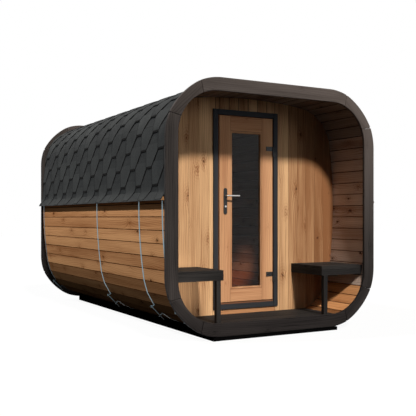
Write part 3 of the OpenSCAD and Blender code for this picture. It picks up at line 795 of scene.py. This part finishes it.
def granules():
    """Slate granules: fine grit in dark greys, a slow cloud, each tab a shade of its own, and
    near-black felt and painted shadow along the tab edges.
    """
    made, tree, skin = new_finish("slate_granules")
    place = object_place(tree)
    grit = wire(tree, "TexNoise", {"Vector": place, "Scale": 260, "Detail": 3}).outputs["Fac"]
    cloud = wire(tree, "TexNoise", {"Vector": place, "Scale": 7, "Detail": 3}).outputs["Fac"]
    shade = reckon(tree, "MULTIPLY_ADD", cloud, 0.3, grit)
    shade = reckon(tree, "MULTIPLY_ADD", carried(tree, "tone"), 0.12, shade)
    greys = wire(tree, "ValToRGB", {"Fac": shade})
    greys.color_ramp.elements[0].position = 0.45
    greys.color_ramp.elements[0].color = srgb(32, 33, 34)
    greys.color_ramp.elements[1].color = srgb(62, 64, 64)
    # painted shadow: the tab edges and the bands along them go near-black
    felt = mixed(tree, carried(tree, "edge"), greys.outputs["Color"], srgb(12, 12, 12))
    bump = wire(tree, "Bump", {"Strength": 0.5, "Distance": 0.001, "Height": grit})
    plug(tree, skin, {"Base Color": felt, "Roughness": 0.85, "Specular IOR Level": 0.06,
                      "Normal": bump.outputs["Normal"]})
    return made


slate = granules()
coat("roof_covering", slate)
COURSES = math.ceil((run_up[-1] - FIRST_COURSE) / COURSE) + 1
for side, name in ((-1, "left_shingles"), (1, "right_shingles")):
    shingles = join([lay_course(step, side) for step in range(COURSES)], name)
    bpy.ops.object.shade_smooth_by_angle(angle=math.radians(35))
    shingles.data.materials.append(slate)
    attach(shingles, "sauna")
bpy.data.objects.remove(strip)

# ridge caps, each lapping the one behind it
bpy.ops.mesh.primitive_plane_add(size=1)
caps = bpy.context.object
caps.name = "ridge_caps"
bpy.ops.object.mode_set(mode="EDIT")
bpy.ops.transform.resize(value=(CAP_WIDTH, COURSE + LAP, 1))
first = roof_low.y + TRIM + (COURSE + LAP) / 2
bpy.ops.transform.translate(value=(0, first, roof_high.z + CAP_RISE))
pick(caps, lambda c: c.y > roof_low.y + COURSE / 2)
bpy.ops.transform.translate(value=(0, 0, -LIFT))
bpy.ops.object.mode_set(mode="OBJECT")
repeat(caps, round((roof_high.y - roof_low.y) / COURSE), (0, COURSE, 0))
thicken(caps)
bpy.ops.object.mode_set(mode="EDIT")
cut((0, roof_high.y - TRIM, 0), (0, 1, 0), clear_outer=True, use_fill=True)
face_out()
caps.data.materials.append(slate)
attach(caps, "sauna")

# battens under the flares, their sawn ends darkened by part of the painted underside shade
battens = boards_of("eave_battens", "eave_batten_boards", ease=0.001, along=(0, 1, 0))
battens.data.materials.append(stave_timber)
for face in battens.data.polygons:
    if abs(face.normal.y) > 0.9:
        battens.data.attributes["under"].data[face.index].value = 0.3

# ---- Floors ---------------------------------------------------------------------------
# The porch deck is stained softwood boards laid across it with open joints. The cabin floor
# is planed spruce boards laid along it. Each board is sawn from the node's slab.

DECK_BOARD = 0.0973
CABIN_BOARD = 0.1


def sawn(node, name, across, pitch, gap=0.0, ease=0.0015, drift=None, weld=WELD, start=None):
    """A slab's boards: the slab cut across into boards of one width, with a gap or a joint."""
    low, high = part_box(node)
    axis = Vector([1.0 if i == across else 0.0 for i in range(3)])
    edge = low[across] if start is None else start
    boards = []
    while edge < high[across] - 0.001:
        board = copy_of(node)
        for side, place in ((1, edge + gap / 2), (-1, edge + pitch - gap / 2)):
            cut(axis * place, axis * side, clear_inner=True, use_fill=True)
        bpy.ops.mesh.select_all(action="SELECT")
        bpy.ops.mesh.dissolve_limited(angle_limit=FLAT)
        bpy.ops.mesh.select_all(action="SELECT")
        bpy.ops.mesh.remove_doubles(threshold=weld)
        bpy.ops.object.mode_set(mode="OBJECT")
        if len(board.data.polygons):
            boards.append(board)
        else:
            bpy.data.objects.remove(board)
        edge += pitch
    piece = join(boards, name)
    finish_piece(piece, node, ease, drift=drift)
    return piece


porch = sawn("porch_floor", "porch_deck", 1, DECK_BOARD, gap=0.003, ease=0.002)
porch.data.materials.append(dark_timber)

wall_timber = timber("wall_timber", (221, 181, 137), (140, 96, 64), (84, 48, 30),
                     knots=1.0, spread=0.5)
cabin = sawn("cabin_floor", "cabin_deck", 0, CABIN_BOARD, gap=0.0004, ease=0.001)
cabin.data.materials.append(wall_timber)

# ---- End walls ------------------------------------------------------------------------
# Tongued spruce boards stand upright between the staves, each with chamfered edges that
# make a V joint with the next. One flat board closes the wall below the doorway.

# edges shorter than a sliver are closed before the chamfers are cut
WALL_BOARD = 0.1
CHAMFER = 0.0035
SLIVER = 0.008
FIRST_JOINTS = {"front_wall_left": -1.074, "front_wall_right": 0.264, "front_wall_top": -0.474}

# painted light and shade: the left wall is paler than its boards' own tones, and the right one
# darkens to the right
painted_light_drifts = {
    "front_wall_left": lambda spot: -0.3,
    "front_wall_right": lambda spot: 2.4 * (spot[0] - 0.27),
}
for node in ("front_wall_left", "front_wall_right", "front_wall_top", "rear_wall"):
    wall = sawn(node, node + "_boards", 0, WALL_BOARD, gap=0.0002, ease=CHAMFER,
                drift=painted_light_drifts.get(node), weld=SLIVER, start=FIRST_JOINTS.get(node))
    wall.data.materials.append(wall_timber)

sill = boards_of("front_wall_sill", "front_sill_board", ease=0.002)
sill_timber = timber("sill_timber", (188, 138, 98), (142, 96, 62), (84, 48, 30), knots=0.3)
sill.data.materials.append(sill_timber)

# ---- Door frame -----------------------------------------------------------------------
# Jambs, head and threshold of planed softwood line the doorway. A casing of painted boards
# is nailed round them on the porch side.

frame_timber = timber("frame_timber", (122, 84, 62), (82, 54, 40), (52, 32, 24), knots=0.2)
for node in ("door_jambs", "door_head", "door_threshold"):
    rail = boards_of(node, node + "_boards", ease=0.001)
    rail.data.materials.append(frame_timber)
casing_black = timber("casing_black", (50, 52, 56), (36, 38, 42), (20, 20, 20),
                      lines=0.5, knots=0, spread=0.1)
casing = boards_of("door_casing", "door_casing_boards", ease=0.0015)
casing.data.materials.append(casing_black)

# ---- Door -----------------------------------------------------------------------------
# Stiles and rails of spruce hold a tinted toughened pane between glazing beads. Hinges and
# handle plates are black-coated steel, the lever and the key cylinder brushed steel.

door_timber = timber("door_timber", (206, 160, 120), (160, 108, 76), (106, 60, 40),
                     knots=0.25, spread=0.35)
for node, ease in (("door_stiles", 0.0015), ("door_rails", 0.0015), ("glazing_beads", 0.002)):
    part = boards_of(node, node + "_boards", ease=ease)
    part.data.materials.append(door_timber)

tinted, tree, pane = new_finish("tinted_glass")
plug(tree, pane, {"Base Color": (0.42, 0.39, 0.37, 1), "Roughness": 0.02, "IOR": 1.25,
                  "Transmission Weight": 1.0})
coat("door_glass", tinted)

black_metal = metal("black_metal", (18, 19, 20), 0.5, metallic=0.2)
for node in ("hinge_pintles", "hinge_leaves"):
    coat(node, black_metal)
lever_steel = metal("lever_steel", (214, 212, 210), 0.3)
coat("door_lever", lever_steel)

# the key cylinder is the narrow one of the plates' solids
CYLINDER_WIDTH = 0.02
plates = boards_of("handle_plates", "handle_plates_and_key", ease=0)
plates.data.materials.append(black_metal)
plates.data.materials.append(lever_steel)
bm = bmesh.new()
bm.from_mesh(plates.data)
for part in islands(bm):
    wide = [v.co.x for face in part for v in face.verts]
    if max(wide) - min(wide) < CYLINDER_WIDTH:
        for face in part:
            face.material_index = 1
bm.to_mesh(plates.data)
bm.free()

# countersunk screws hold the hinge leaves, three to each leaf
SCREW_R = 0.0038
SCREW_HEAD = 0.0016
SCREW_PROUD = 0.0002
SCREW_TAPER = 0.8
SCREW_PLACES = ((0.012, 0.012), (0.012, 0.033), (0.036, 0.0225))
LEAF_HEIGHT = 0.0447
leaf_low, leaf_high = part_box("hinge_leaves")
bpy.ops.mesh.primitive_cylinder_add(vertices=16, radius=SCREW_R, depth=SCREW_HEAD,
                                    rotation=(math.radians(90), 0, 0))
screw = bpy.context.object
bpy.ops.object.transform_apply(location=False, rotation=True, scale=False)
bpy.ops.object.mode_set(mode="EDIT")
pick(screw, lambda c: c.y < 0)
bpy.ops.transform.resize(value=(SCREW_TAPER, 1, SCREW_TAPER))
bpy.ops.object.mode_set(mode="OBJECT")
screws = []
for foot in (leaf_low.z, leaf_high.z - LEAF_HEIGHT):
    for in_x, in_z in SCREW_PLACES:
        head = screw.copy()
        head.data = screw.data.copy()
        bpy.context.scene.collection.objects.link(head)
        spot = (leaf_low.x + in_x, leaf_low.y - SCREW_PROUD, foot + in_z)
        head.data.transform(Matrix.Translation(spot))
        screws.append(head)
bpy.data.objects.remove(screw)
heads = join(screws, "hinge_screws")
bpy.ops.object.shade_smooth_by_angle(angle=math.radians(35))
screw_steel = metal("screw_steel", (92, 94, 98), 0.35)
heads.data.materials.append(screw_steel)
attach(heads, nodes["hinge_leaves"]["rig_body"])

# ---- Benches --------------------------------------------------------------------------
# Each bench is a seat of stained boards on an apron and a post, fixed to the staves and to
# the front wall. The seat boards run out from the staves, side by side towards the cabin.

SEAT_BOARD = 0.1145
for side in ("left", "right"):
    seat = sawn(f"{side}_bench_seat", f"{side}_seat_boards", 1, SEAT_BOARD, gap=0.002, ease=0.002)
    apron = boards_of(f"{side}_bench_apron", f"{side}_apron_boards", ease=0.002)
    post = boards_of(f"{side}_bench_post", f"{side}_post_board", ease=0.003)
    for part in (seat, apron, post):
        part.data.materials.append(dark_timber)

bpy.context.scene.view_settings.view_transform = "Standard"
